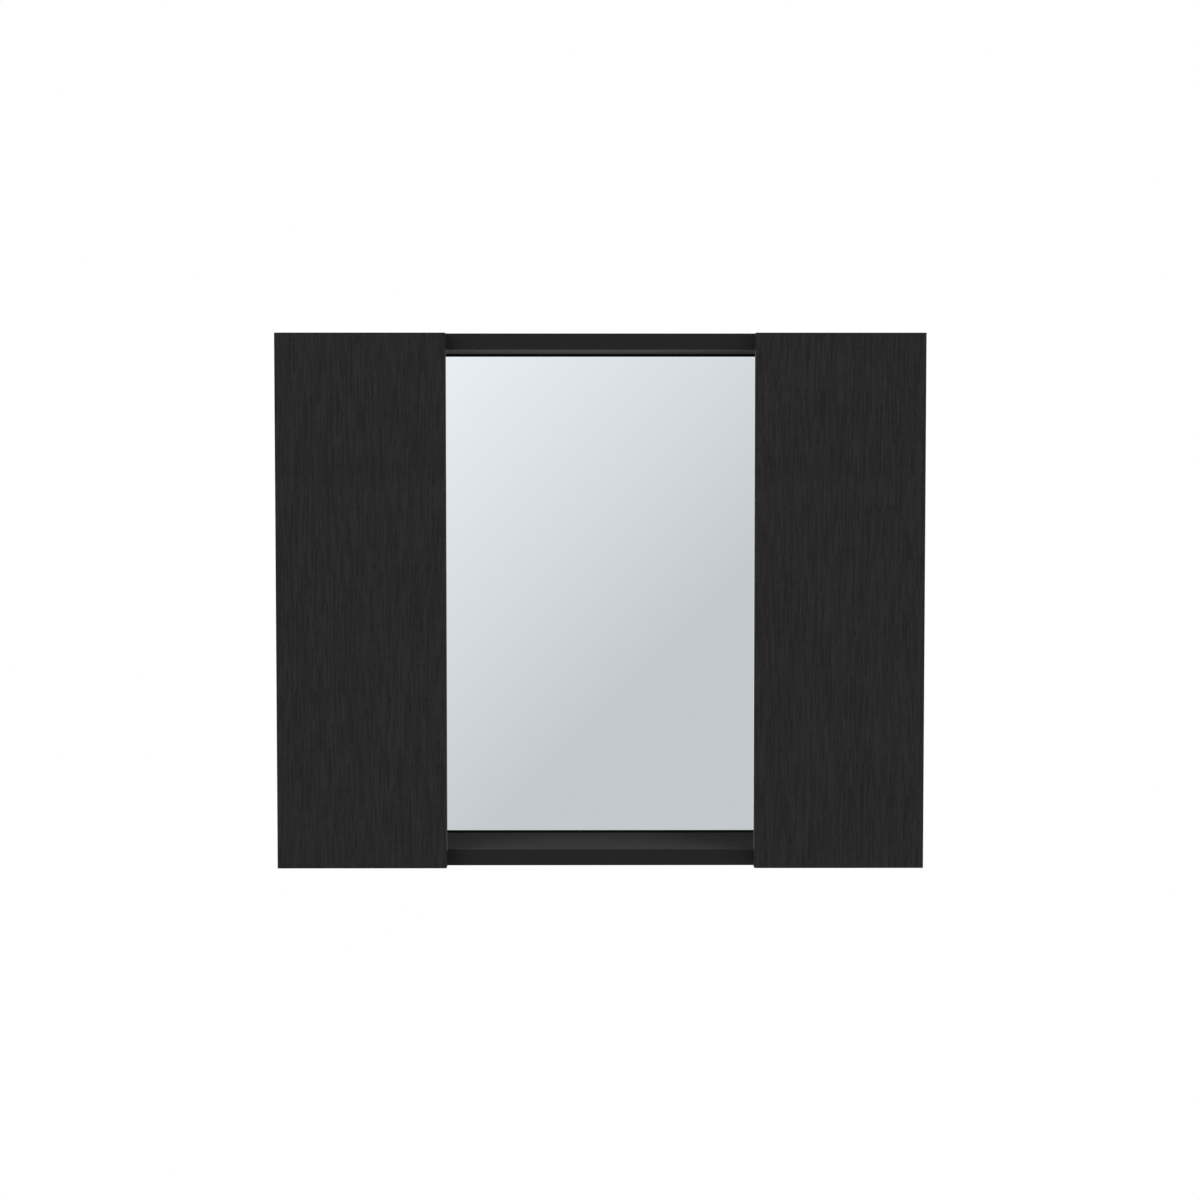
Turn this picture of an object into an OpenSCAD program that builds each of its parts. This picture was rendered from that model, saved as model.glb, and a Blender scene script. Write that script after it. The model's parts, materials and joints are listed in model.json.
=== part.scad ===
// Wall cabinet with a fixed mirror in an open middle niche and two hinged side doors.
// X runs to the right, Y towards the wall and Z up. The origin lies on the wall plane,
// midway between the two wall screws.

/* [Carcass] */
// Width over the two side panels
cabinet_w = 600; // [560:5:900]
// Height over the top and bottom edges
cabinet_h = 496; // [420:1:900]
// Depth from the wall to the front edges of the boards
carcass_d = 112; // [110:1:220]
// Thickness of the carcass boards and shelves
board_t = 15; // [15:0.5:19]
// Clear width of the open niche between the dividers
niche_w = 306; // [200:1:330]
// Thickness of the back panel
back_t = 3; // [2.5:0.5:6]
// How far the back panel stays inside the outline of the carcass
back_inset = 1; // [0.5:0.5:4]
// Thickness of the edge bands on the front edges and round the doors
band_t = 0.8; // [0.4:0.1:2]
// Joint between two strips of edge band where they meet
band_joint = 0.1; // [0.05:0.05:0.3]

/* [Doors] */
// Thickness of a door
door_t = 15; // [15:0.5:22]
// Gap between the front edges of the carcass and a closed door
door_gap = 3; // [3:0.1:4]
// How far a door laps over the niche, as a grip for the fingers
finger_lap = 10; // [5:1:25]
// Diameter of a door bumper
bumper_d = 10; // [6:1:13]
// Distance of a bumper's centre from the top or bottom edge of the door
bumper_inset = 22; // [15:1:40]
// Air left between a bumper and the divider that it lands on
bumper_air = 0.2; // [0.1:0.1:0.5]

/* [Mirror] */
// Thickness of the glass
mirror_t = 3; // [3:0.5:5]
// Gap round the glass
mirror_gap = 3; // [1:0.1:5]
// Width of the bevel polished along the front edges of the glass
mirror_arris = 0.6; // [0.3:0.1:1.5]
// Thickness of the mounting tape
tape_t = 0.5; // [0.3:0.1:1.5]
// Width of a strip of tape
tape_w = 20; // [10:1:40]
// Number of strips of tape
tape_count = 3; // [2:1:6]
// Distance from the edge of the glass to the tape
tape_margin = 30; // [15:1:60]

/* [Shelves] */
// Number of shelves in each side compartment
shelf_count = 2; // [1:1:3]
// Gap at each end of a shelf
shelf_play = 0.5; // [0.3:0.1:1.5]
// How far a shelf stays behind the front edges of the boards
shelf_setback = 10; // [6:1:30]
// Gap between a shelf and the back panel
shelf_back_air = 1; // [0.5:0.5:3]
// Diameter of a shelf pin
shelf_pin_d = 5; // [4:0.5:6]
// Length of a shelf pin
shelf_pin_len = 16; // [12:1:20]
// Depth of the blind holes for shelf pins
pin_hole_depth = 9; // [6:0.5:11]
// Pitch of the rows of pin holes
pin_pitch = 32; // [25:1:50]
// Least distance from a row of holes to the top and bottom panels
pin_row_end = 96; // [80:1:140]
// Distance from the rear row of holes to the rear edge of the board
pin_row_rear = 24; // [20:1:32]

/* [Hanging rails] */
// Height of a hanging rail
rail_h = 60; // [45:1:90]
// Thickness of a hanging rail
rail_t = 15; // [12:0.5:19]
// Diameter of the holes for the wall screws
wall_hole_d = 6; // [4:0.5:8]

/* [Hinges] */
// Distance from the top or bottom edge of a door to the middle of its hinge
hinge_inset = 80; // [60:1:90]
// Outer diameter of the hinge cup
cup_d = 35; // [35:1:40]
// Depth of the cup in the door
cup_depth = 11.6; // [11.6:0.1:12.5]
// Board left between the cup's bore and the edge of the door
cup_edge = 3; // [2.5:0.1:3.5]
// Wall of the cup
cup_wall = 0.9; // [0.6:0.1:1]
// Thickness of the cup's flange
flange_t = 1.3; // [1:0.1:1.6]
// How far the ring of the flange covers the door round the cup
flange_lap = 0.5; // [0.2:0.1:1]
// Distance between the two cup screws
cup_screw_pitch = 45; // [42:0.5:52]
// Offset of the cup screws from the middle of the cup, away from the edge
cup_screw_offset = 9.5; // [7:0.5:12]
// Radius of the flange round a cup screw
flange_pad_r = 6; // [5:0.5:8]
// Distance of the hinge pin from the door's edge
pivot_u = 6.8; // [6.6:0.1:7]
// Depth of the hinge pin in the door
pivot_depth = 8; // [7.9:0.1:8.4]
// Diameter of the hinge pin
hinge_pin_d = 2.4; // [2:0.1:2.6]
// Length of the hinge pin
hinge_pin_len = 17; // [14:0.5:18]
// Radius of the eye on the hinge arm
eye_r = 2.2; // [2:0.1:2.25]
// Width of the arm's neck where it enters the cup
neck_w = 7; // [5:0.5:7.5]
// Thickness of the arm's neck
neck_t = 2.2; // [1.8:0.1:2.4]
// Distance of the neck's upright leg from the outer face of the side panel
neck_u = 17.4; // [17.2:0.1:18.4]
// Inner bend radius of the neck
neck_bend_r = 0.8; // [0.6:0.1:1.5]
// Air on each side of the neck, inside the cup
neck_side_air = 0.4; // [0.3:0.1:0.8]
// Height of the arm above the side panel
arm_h = 10; // [9:0.5:14]
// Width of the arm
arm_w = 15; // [13:0.5:20]
// Sheet thickness of the arm
arm_sheet = 1.4; // [1:0.1:1.6]
// Length of the arm behind the front edge of the side panel
arm_len = 62; // [56:1:80]
// Distance from the front edge of the side panel to the front end of the arm's web
arm_front = 6; // [4:0.5:10]
// Distance from the front edge of the side panel to the plate screws
plate_setback = 37; // [30:0.5:40]
// Distance between the two plate screws
plate_screw_pitch = 32; // [28:0.5:40]
// Length of a mounting plate's wings, over both
plate_span = 46; // [44:1:56]
// Width of the wings
plate_wing_w = 13; // [11:0.5:16]
// Thickness of the wings
plate_t = 2; // [1.5:0.1:3]
// Width of the seat under the arm
seat_w = 9; // [8:0.5:10]
// Air between the seat and the arm on top of it
seat_air = 0.1; // [0.05:0.05:0.3]

/* [Fasteners] */
// Radial clearance of pins, screws and dowels in their holes
fit = 0.05; // [0.02:0.01:0.1]
// Diameter of a cam lock
cam_d = 15; // [12:0.5:16]
// Wall of a cam lock
cam_wall = 1.8; // [1.2:0.1:2.2]
// Depth of a cam lock
cam_depth = 12; // [11:0.1:12.5]
// Distance from the end of the board to the middle of a cam lock
cam_inset = 24; // [20:0.5:34]
// Diameter of the cam bolt's shank
cam_bolt_d = 6; // [5:0.1:6]
// Diameter of the cam bolt's neck, which the cam grips
cam_neck_d = 3.6; // [3:0.1:4]
// Depth of a cam bolt in the side panel
cam_bolt_grip = 11; // [9:0.5:12]
// Distance from the front edges of the boards to the front row of cam locks
cam_front = 30; // [25:1:36]
// Distance from the rear edges of the boards to the rear row of cam locks
cam_rear = 28; // [26:1:34]
// Diameter of a wooden dowel
dowel_d = 8; // [6:0.5:8]
// Length of a wooden dowel
dowel_len = 28; // [24:1:35]
// Depth of a dowel in the face of a board
dowel_grip = 10; // [8:0.5:11]
// Distance between the two dowels at each end of a hanging rail
rail_dowel_pitch = 36; // [20:1:40]
// Shank diameter of the screws through the top and bottom panels
divider_screw_d = 4; // [3:0.1:5]
// Length of those screws
divider_screw_len = 40; // [30:1:50]
// Shank diameter of the screws in the hinge plates and cups
hinge_screw_d = 3.6; // [3:0.1:4]
// Length of those screws
hinge_screw_len = 11; // [8:0.5:12]
// Shank diameter of the two screws in each hinge arm
arm_screw_d = 4; // [3.5:0.1:4.5]
// Shank diameter of a nail
nail_d = 1.6; // [1.2:0.1:2]
// Length of a nail
nail_len = 16; // [12:1:20]
// Head diameter of a nail
nail_head_d = 4; // [3:0.1:5]
// Thickness of a nail's head
nail_head_t = 0.8; // [0.5:0.1:1.2]
// Distance from the ends of the back panel to the first nail of a row
nail_end = 50; // [48:1:60]
// Number of nails in a row
nail_count = 5; // [3:1:9]

/* [Hidden] */
$fn = 48;
// Smallest overlap or overrun that keeps two cuts clean
eps = 0.01;
left = -1;
right = 1;
lower = -1;
upper = 1;

// Heights
z_top = rail_h / 2 + board_t;
z_bottom = z_top - cabinet_h;
z_in_top = z_top - board_t;
z_in_bottom = z_bottom + board_t;
inner_h = z_in_top - z_in_bottom;

// Widths
side_in = cabinet_w / 2 - board_t;
niche_x = niche_w / 2;
divider_x = niche_x + board_t / 2;
bay_in = niche_x + board_t;
bay_w = side_in - bay_in;
bay_x = (side_in + bay_in) / 2;
door_w = (cabinet_w - niche_w) / 2 + finger_lap;

// Depths
y_front = -carcass_d;
y_back = -back_t;
board_front = y_front + band_t;
board_d = board_front - y_back;

// Mirror
mirror_w = niche_w - 2 * mirror_gap;
mirror_h = inner_h - 2 * mirror_gap;
mirror_zm = (z_in_top + z_in_bottom) / 2;
tape_x0 = tape_margin - mirror_w / 2;
tape_gap = (mirror_w - 2 * tape_margin - tape_w) / (tape_count - 1);

// Shelves and their pins
pin_rows = floor((inner_h - 2 * pin_row_end) / pin_pitch) + 1;
pin_z0 = z_in_bottom + (inner_h - (pin_rows - 1) * pin_pitch) / 2;
pin_front_y = y_front + plate_setback;
pin_rear_y = y_back - pin_row_rear;
shelf_w = bay_w - 2 * shelf_play;
shelf_rear = y_back - shelf_back_air;
shelf_front = y_front + shelf_setback;
function pin_z(i) = pin_z0 + i * pin_pitch;
// The row of holes nearest to an even spacing of the shelves
space_h = (inner_h - shelf_count * board_t) / (shelf_count + 1);
function shelf_row(k) =
    min(pin_rows - 1, max(0, round((z_in_bottom + k * (space_h + board_t) - board_t - pin_z0) / pin_pitch)));
function shelf_z(k) = pin_z(shelf_row(k)) + shelf_pin_d / 2;

// Hinges, in their own frame: U inward from the side's outer face, V forward from the carcass
pivot_v = door_gap + pivot_depth;
cup_u = cup_edge + cup_d / 2;
cup_r_in = cup_d / 2 - cup_wall;
cup_floor_v = door_gap + cup_depth - cup_wall;
flange_v = door_gap - flange_t;
arm_top_u = board_t + arm_h;
arm_web_u = arm_top_u - arm_sheet;
seat_top_u = arm_web_u - seat_air;
hinge_zs = [z_top - hinge_inset, z_bottom + hinge_inset];
screw_head_r = 3.8;
screw_head_t = 1.8;
arm_screw_vs = [-arm_front - 18, -arm_len + 9];
arm_screw_head_r = 3.6;
arm_screw_head_t = 1.6;
hinge_screw_bite = hinge_screw_len - screw_head_t;

// Fastener rows
cam_ys = [y_front + cam_front, y_back - cam_rear];
dowel_y = (cam_ys[0] + cam_ys[1]) / 2;
rail_y = y_back - rail_t / 2;
nail_step_z = (cabinet_h - 2 * nail_end) / (nail_count - 1);
nail_step_x = (cabinet_w - 2 * nail_end - 2 * board_t) / (nail_count - 1);
divider_head_r = divider_screw_d;
divider_head_t = divider_screw_d * 0.6;

// Colours as seen
charcoal = [0.15, 0.15, 0.16];
band_grey = [0.12, 0.12, 0.13];
silver_glass = [0.84, 0.87, 0.89];
steel = [0.72, 0.73, 0.75];
zinc = [0.6, 0.61, 0.63];
beech = [0.82, 0.68, 0.48];
hardboard = [0.42, 0.33, 0.25];
foam_white = [0.92, 0.92, 0.9];
clear_rubber = [0.8, 0.82, 0.82];

// Shared shapes

// A block between two corners
module block(a, b)
    translate([min(a[0], b[0]), min(a[1], b[1]), min(a[2], b[2])])
        cube([abs(b[0] - a[0]), abs(b[1] - a[1]), abs(b[2] - a[2])]);

// A rod along X, Y or Z that starts at the origin
module rod_x(r, len) rotate([0, 90, 0]) cylinder(r = r, h = len);
module rod_y(r, len) rotate([-90, 0, 0]) cylinder(r = r, h = len);

// A countersunk screw that points along +Z, with its head flush at the origin and a cross recess
module countersunk_screw(d, len, head_r, head_t) {
    difference() {
        union() {
            cylinder(r1 = head_r, r2 = d / 2, h = head_t);
            cylinder(r = d / 2, h = len - d / 2);
            translate([0, 0, len - d / 2]) cylinder(r1 = d / 2, r2 = d / 8, h = d / 2);
        }
        for (a = [0, 90]) rotate([0, 0, a])
            translate([-head_r * 0.55, -0.35, -eps]) cube([head_r * 1.1, 0.7, head_t * 0.5]);
    }
}

// The hole for such a screw
module countersunk_hole(d, len, head_r, head_t) {
    translate([0, 0, -eps]) cylinder(r1 = head_r + fit + eps, r2 = d / 2 + fit, h = head_t + eps);
    cylinder(r = d / 2 + fit, h = len + fit);
}

// Places where the parts of one kind sit

// The hinge frame of one side: +X inward from the side's outer face, +Y forward from the carcass
module side_frame(s)
    translate([s * cabinet_w / 2, y_front, 0]) mirror([s > 0 ? 1 : 0, 0, 0]) mirror([0, 1, 0]) children();

// Each end of the top and bottom panels: +X inward from the joint, +Z towards the panel's outer face
module panel_ends(ys)
    for (s = [left, right]) for (e = [lower, upper]) for (y = ys)
        translate([s * side_in, y, e > 0 ? z_top - board_t / 2 : z_bottom + board_t / 2])
            mirror([s > 0 ? 1 : 0, 0, 0]) mirror([0, 0, e < 0 ? 1 : 0]) children();

// Each dowel of the hanging rails: +X from the joint into the rail
module rail_ends()
    for (s = [left, right]) for (z = [-rail_dowel_pitch / 2, rail_dowel_pitch / 2]) {
        translate([s * side_in, rail_y, z]) mirror([s > 0 ? 1 : 0, 0, 0]) children();
        translate([s * bay_in, rail_y, z]) mirror([s > 0 ? 0 : 1, 0, 0]) children();
    }

// Each screw through the top and bottom panels: +Z from the outer face into the divider
module divider_screw_sites()
    for (s = [left, right]) for (y = cam_ys) {
        translate([s * divider_x, y, z_top]) mirror([0, 0, 1]) children();
        translate([s * divider_x, y, z_bottom]) children();
    }

// Each nail of the back panel: +Z from the rear face into the boards
module nail_sites() {
    for (x = [-cabinet_w / 2 + board_t / 2, -divider_x, divider_x, cabinet_w / 2 - board_t / 2])
        for (i = [0:nail_count - 1])
            translate([x, 0, z_bottom + nail_end + i * nail_step_z]) rotate([90, 0, 0]) children();
    for (z = [z_bottom + board_t / 2, z_top - board_t / 2])
        for (i = [0:nail_count - 1])
            translate([-cabinet_w / 2 + board_t + nail_end + i * nail_step_x, 0, z])
                rotate([90, 0, 0]) children();
}

// Each shelf-pin hole of one side, or only those that carry a shelf: +X from the board's face
module pin_sites(s, rows)
    for (i = rows) for (y = [pin_front_y, pin_rear_y]) {
        translate([s * side_in, y, pin_z(i)]) mirror([s > 0 ? 0 : 1, 0, 0]) children();
        translate([s * bay_in, y, pin_z(i)]) mirror([s > 0 ? 1 : 0, 0, 0]) children();
    }

// Each plate screw of one side: +Z into the side panel
module plate_screw_sites(s)
    side_frame(s) for (z = hinge_zs) for (e = [-1, 1])
        translate([board_t + plate_t, -plate_setback, z + e * plate_screw_pitch / 2])
            rotate([0, -90, 0]) children();

// Each cup screw of one side: +Z into the door
module cup_screw_sites(s)
    side_frame(s) for (z = hinge_zs) for (e = [-1, 1])
        translate([cup_u + cup_screw_offset, flange_v, z + e * cup_screw_pitch / 2])
            rotate([-90, 0, 0]) children();

// Each wall screw: +Y along the screw
module wall_screw_sites()
    for (s = [left, right]) translate([s * bay_x, 0, 0]) children();

// Cuts that several boards share

module cam_bolt_cut()
    translate([-cam_bolt_grip - fit, 0, 0]) rod_x(cam_bolt_d / 2 + fit, cam_bolt_grip + cam_inset);
module cam_lock_cut()
    translate([cam_inset, 0, -board_t / 2 - eps]) cylinder(r = cam_d / 2 + fit, h = cam_depth + fit + eps);
module dowel_cut()
    translate([-dowel_grip - fit, 0, 0]) rod_x(dowel_d / 2 + fit, dowel_len + 2 * fit);
module nail_cut() {
    translate([0, 0, -eps]) cylinder(r = nail_head_d / 2 + fit, h = nail_head_t + fit + eps);
    cylinder(r = nail_d / 2 + fit, h = nail_len + fit);
}
module divider_screw_cut()
    countersunk_hole(divider_screw_d, divider_screw_len, divider_head_r, divider_head_t);
module pin_cut()
    rod_x(shelf_pin_d / 2 + fit, pin_hole_depth + fit);
module all_nail_cuts() nail_sites() nail_cut();
module all_pin_cuts(s) pin_sites(s, [0:pin_rows - 1]) translate([-eps, 0, 0]) pin_cut();

// Carcass boards

module side_panel(s) color(charcoal)
    difference() {
        block([s * side_in, board_front, z_bottom], [s * cabinet_w / 2, y_back, z_top]);
        panel_ends(cam_ys) cam_bolt_cut();
        panel_ends([dowel_y]) dowel_cut();
        rail_ends() dowel_cut();
        all_pin_cuts(s);
        all_nail_cuts();
        plate_screw_sites(s) cylinder(r = hinge_screw_d / 2 + fit, h = hinge_screw_len + fit);
    }

// The top panel, or mirrored, the bottom panel
module end_panel(e) color(charcoal)
    difference() {
        block([-side_in, board_front, e > 0 ? z_in_top : z_bottom],
              [side_in, y_back, e > 0 ? z_top : z_in_bottom]);
        panel_ends(cam_ys) cam_bolt_cut();
        panel_ends(cam_ys) cam_lock_cut();
        panel_ends([dowel_y]) dowel_cut();
        divider_screw_sites() divider_screw_cut();
        all_nail_cuts();
    }

module divider(s) color(charcoal)
    difference() {
        block([s * niche_x, board_front, z_in_bottom], [s * bay_in, y_back, z_in_top]);
        divider_screw_sites() divider_screw_cut();
        rail_ends() dowel_cut();
        all_pin_cuts(s);
        all_nail_cuts();
    }

module back_panel() color(hardboard)
    difference() {
        block([-cabinet_w / 2 + back_inset, y_back, z_bottom + back_inset],
              [cabinet_w / 2 - back_inset, 0, z_top - back_inset]);
        wall_screw_sites() translate([0, y_back - eps, 0]) rod_y(wall_hole_d / 2, back_t + 2 * eps);
        all_nail_cuts();
    }

module hanging_rail(s) color(charcoal)
    difference() {
        block([s * bay_in, y_back - rail_t, -rail_h / 2], [s * side_in, y_back, rail_h / 2]);
        wall_screw_sites() translate([0, y_back - rail_t - eps, 0]) rod_y(wall_hole_d / 2, rail_t + 2 * eps);
        rail_ends() dowel_cut();
    }

// Strips along the front edges of the six boards
module carcass_edge_bands() color(band_grey) {
    for (s = [left, right]) {
        block([s * side_in, y_front, z_bottom], [s * cabinet_w / 2, board_front, z_top]);
        block([s * niche_x, y_front, z_in_bottom + band_joint],
              [s * bay_in, board_front, z_in_top - band_joint]);
    }
    for (z = [z_bottom, z_in_top])
        block([band_joint - side_in, y_front, z], [side_in - band_joint, board_front, z + board_t]);
}

// Shelves

module shelf(s, k) color(charcoal)
    block([s * (bay_x - shelf_w / 2), shelf_front, shelf_z(k)],
          [s * (bay_x + shelf_w / 2), shelf_rear, shelf_z(k) + board_t]);

module shelf_pins() color(steel)
    for (s = [left, right]) pin_sites(s, [for (k = [1:shelf_count]) shelf_row(k)])
        translate([pin_hole_depth - shelf_pin_len, 0, 0]) rod_x(shelf_pin_d / 2, shelf_pin_len);

// Mirror

// The glass, with a bevel round its front
module mirror_glass() color(silver_glass)
    translate([0, y_back - tape_t, mirror_zm]) rotate([90, 0, 0])
        difference() {
            translate([-mirror_w / 2, -mirror_h / 2, 0]) cube([mirror_w, mirror_h, mirror_t]);
            for (s = [-1, 1]) {
                translate([s * mirror_w / 2, 0, mirror_t]) rotate([0, 45, 0])
                    cube([mirror_arris * sqrt(2), mirror_h + 1, mirror_arris * sqrt(2)], center = true);
                translate([0, s * mirror_h / 2, mirror_t]) rotate([45, 0, 0])
                    cube([mirror_w + 1, mirror_arris * sqrt(2), mirror_arris * sqrt(2)], center = true);
            }
        }

module mirror_tapes() color(foam_white)
    for (i = [0:tape_count - 1])
        translate([tape_x0 + i * tape_gap, y_back - tape_t, mirror_zm - mirror_h / 2 + tape_margin])
            cube([tape_w, tape_t, mirror_h - 2 * tape_margin]);

// Fittings of the carcass

// A cam lock: a hollow drum with a way in for the head of the bolt, turned a quarter so that
// the narrow slot holds the neck, and a cross recess in its face
module cam_locks() color(zinc)
    panel_ends(cam_ys) translate([cam_inset, 0, -board_t / 2])
        difference() {
            cylinder(r = cam_d / 2, h = cam_depth);
            translate([0, 0, board_t / 2]) {
                translate([0, 0, -cam_bolt_d / 2 - 0.4])
                    cylinder(r = cam_d / 2 - cam_wall, h = cam_bolt_d + 0.8);
                translate([-cam_d / 2 - 1, 0, 0]) rod_x(cam_neck_d / 2 + 0.3, cam_d / 2 + 1);
                rotate([0, 0, 90]) rod_x(cam_bolt_d / 2 + 0.3, cam_d / 2 + 1);
            }
            for (a = [0, 90]) rotate([0, 0, a + 45])
                translate([-cam_d * 0.3, -0.6, -eps]) cube([cam_d * 0.6, 1.2, 1.6]);
        }

module cam_bolts() color(steel)
    panel_ends(cam_ys) translate([-cam_bolt_grip, 0, 0]) {
        rod_x(cam_bolt_d / 2, cam_bolt_grip + cam_inset - cam_d / 2 - 1);
        rod_x(cam_neck_d / 2, cam_bolt_grip + cam_inset);
        translate([cam_bolt_grip + cam_inset - 2, 0, 0]) rod_x(cam_bolt_d / 2, 3);
    }

module panel_dowels() color(beech)
    panel_ends([dowel_y]) translate([-dowel_grip, 0, 0]) rod_x(dowel_d / 2, dowel_len);

module rail_dowels() color(beech)
    rail_ends() translate([-dowel_grip, 0, 0]) rod_x(dowel_d / 2, dowel_len);

module divider_screws() color(steel)
    divider_screw_sites()
        countersunk_screw(divider_screw_d, divider_screw_len, divider_head_r, divider_head_t);

module back_panel_nails() color(steel)
    nail_sites() {
        cylinder(r = nail_head_d / 2, h = nail_head_t);
        cylinder(r = nail_d / 2, h = nail_len - nail_d);
        translate([0, 0, nail_len - nail_d]) cylinder(r1 = nail_d / 2, r2 = nail_d / 8, h = nail_d);
    }

// Hinges, drawn in the side frame at the height of one hinge

// The mounting plate: two wings on the side panel and a raised seat for the arm
module hinge_plate(s, i) color(zinc)
    side_frame(s) translate([board_t, 0, hinge_zs[i]])
        difference() {
            union() {
                block([0, -plate_setback - plate_wing_w / 2, -plate_span / 2 + plate_wing_w / 2],
                      [plate_t, -plate_setback + plate_wing_w / 2, plate_span / 2 - plate_wing_w / 2]);
                for (e = [-1, 1])
                    translate([0, -plate_setback, e * (plate_span - plate_wing_w) / 2])
                        rod_x(plate_wing_w / 2, plate_t);
                block([0, -arm_len + 2, -seat_w / 2], [seat_top_u - board_t, -arm_front - 6, seat_w / 2]);
            }
            for (e = [-1, 1])
                translate([plate_t, -plate_setback, e * plate_screw_pitch / 2]) rotate([0, -90, 0])
                    countersunk_hole(hinge_screw_d, hinge_screw_len, screw_head_r, screw_head_t);
            for (v = arm_screw_vs)
                translate([-eps, v, 0]) rod_x(arm_screw_d / 2 + fit, arm_h);
        }

// The arm: a channel over the seat, and a neck that bends into the cup and ends in an eye
module hinge_arm(s, i) color(steel)
    side_frame(s) translate([0, 0, hinge_zs[i]])
        difference() {
            union() {
                block([arm_web_u, -arm_len, -arm_w / 2], [arm_top_u, -arm_front, arm_w / 2]);
                for (e = [-1, 1])
                    block([board_t + plate_t + 0.5, -arm_len, e * (arm_w / 2 - arm_sheet)],
                          [arm_top_u, -arm_front, e * arm_w / 2]);
                translate([0, 0, -neck_w / 2]) linear_extrude(height = neck_w) neck_outline();
            }
            for (v = arm_screw_vs)
                translate([arm_web_u - 1, v, 0]) rod_x(arm_screw_d / 2 + fit, arm_sheet + 2);
            translate([pivot_u, pivot_v, -neck_w / 2 - eps])
                cylinder(r = hinge_pin_d / 2 + fit, h = neck_w + 2 * eps);
            // The wings of the plate pass under the cheeks
            block([board_t, -plate_setback - plate_wing_w / 2 - 0.5, -arm_w],
                  [board_t + plate_t + 0.5, -plate_setback + plate_wing_w / 2 + 0.5, arm_w]);
        }

// Side view of the neck, in U and V
module neck_outline() {
    bend_out = neck_bend_r + neck_t;
    bend_u = neck_u - neck_bend_r;
    bend_v = pivot_v - neck_bend_r;
    // The eye and the level band above the pin
    translate([pivot_u, pivot_v]) circle(r = eye_r);
    translate([pivot_u, pivot_v]) square([bend_u - pivot_u, neck_t]);
    // The bend
    intersection() {
        translate([bend_u, bend_v]) difference() {
            circle(r = bend_out);
            circle(r = neck_bend_r);
        }
        translate([bend_u, bend_v]) square(bend_out + 1);
    }
    // The upright leg and the slope down to the channel
    translate([neck_u, 0]) square([neck_t, bend_v]);
    polygon([
        [neck_u, 0], [neck_u + neck_t, 0], [neck_u + neck_t, 0.8],
        [arm_top_u, -arm_front + 0.6], [arm_top_u, -arm_front - 4],
        [arm_web_u, -arm_front - 4], [arm_web_u, -arm_front]
    ]);
}

module plate_screws() color(steel)
    for (s = [left, right]) plate_screw_sites(s)
        countersunk_screw(hinge_screw_d, hinge_screw_len, screw_head_r, screw_head_t);

// One of the two screws in each arm, with its head on the channel
module arm_screws(v) color(steel)
    for (s = [left, right]) side_frame(s) for (z = hinge_zs)
        translate([arm_top_u, v, z])
            difference() {
                union() {
                    rod_x(arm_screw_head_r, arm_screw_head_t);
                    translate([-arm_h + 1, 0, 0]) rod_x(arm_screw_d / 2, arm_h - 1 + eps);
                }
                for (a = [0, 90]) rotate([a, 0, 0])
                    translate([arm_screw_head_t * 0.4, -0.4, -arm_screw_head_r * 0.6])
                        cube([arm_screw_head_t, 0.8, arm_screw_head_r * 1.2]);
            }

// The cup: a drum in the door, with a flange and two bosses that hold the pin
module hinge_cup(s, i) color(steel)
    side_frame(s) translate([0, 0, hinge_zs[i]])
        difference() {
            union() {
                translate([cup_u, flange_v, 0]) difference() {
                    rod_y(cup_d / 2, flange_t + cup_depth);
                    translate([0, -eps, 0]) rod_y(cup_r_in, cup_floor_v - flange_v + eps);
                }
                cup_flange();
                cup_bosses();
            }
            translate([pivot_u, pivot_v, -hinge_pin_len / 2 - fit])
                cylinder(r = hinge_pin_d / 2 + fit, h = hinge_pin_len + 2 * fit);
            for (e = [-1, 1])
                translate([cup_u + cup_screw_offset, flange_v, e * cup_screw_pitch / 2]) rotate([-90, 0, 0])
                    countersunk_hole(hinge_screw_d, hinge_screw_len, screw_head_r, flange_t * 0.9);
        }

module cup_flange() {
    pad_z = cup_screw_pitch / 2;
    difference() {
        union() {
            translate([cup_u, flange_v, 0]) rod_y(cup_d / 2 + flange_lap, flange_t);
            block([cup_u + cup_screw_offset - flange_pad_r, flange_v, -pad_z],
                  [cup_u + cup_screw_offset + flange_pad_r, door_gap, pad_z]);
            for (e = [-1, 1])
                translate([cup_u + cup_screw_offset, flange_v, e * pad_z]) rod_y(flange_pad_r, flange_t);
        }
        translate([cup_u, flange_v - eps, 0]) rod_y(cup_r_in, flange_t + 2 * eps);
    }
}

module cup_bosses()
    intersection() {
        translate([cup_u, door_gap, 0]) rod_y(cup_d / 2 - cup_wall / 2, cup_depth - cup_wall / 2);
        for (e = [-1, 1])
            block([0, pivot_v - eye_r, e * (neck_w / 2 + neck_side_air)],
                  [pivot_u + eye_r, door_gap + cup_depth, e * (hinge_pin_len / 2 + 1)]);
    }

module hinge_pins(s) color(steel)
    side_frame(s) for (z = hinge_zs)
        translate([pivot_u, pivot_v, z - hinge_pin_len / 2]) cylinder(r = hinge_pin_d / 2, h = hinge_pin_len);

module cup_screws(s) color(steel)
    cup_screw_sites(s) countersunk_screw(hinge_screw_d, hinge_screw_len, screw_head_r, flange_t * 0.9);

// Doors

module door(s) color(charcoal)
    difference() {
        side_frame(s)
            block([band_t, door_gap, z_bottom + band_t],
                  [door_w - band_t, door_gap + door_t, z_top - band_t]);
        side_frame(s) for (z = hinge_zs)
            translate([cup_u, door_gap - eps, z]) rod_y(cup_d / 2 + fit, cup_depth + fit + eps);
        cup_screw_sites(s) cylinder(r = hinge_screw_d / 2 + fit, h = hinge_screw_len + fit);
    }

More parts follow.
